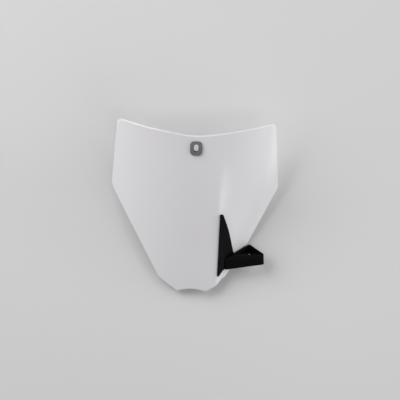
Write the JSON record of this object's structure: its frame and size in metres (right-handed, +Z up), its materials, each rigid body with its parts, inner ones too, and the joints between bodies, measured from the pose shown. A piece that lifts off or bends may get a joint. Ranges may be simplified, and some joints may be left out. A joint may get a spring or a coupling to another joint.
{
  "type": "racing number board",
  "caption": "Curved white plastic front number board with a rubber grommet and a black brake hose guide on its turned-back side panel.",
  "frame": {"origin": "centre of the top bolt slot, in the plane of the grommet's rear face, which meets the machine", "axes": "+Z up, -Y the way the board faces, +X to the viewer's right, where the hose guide is"},
  "size_m": [0.2473, 0.0638, 0.2503],
  "materials": {
    "board_plastic": "smooth moulded gloss",
    "guide_plastic": "black, satin",
    "grommet_rubber": "dark grey, matt",
    "screw_steel": "zinc plated"
  },
  "bodies": {
    "root": {"plate": "board_plastic", "hose_guide": "guide_plastic", "grommet": "grommet_rubber", "guide_screws": "screw_steel"}
  },
  "joints": []
}
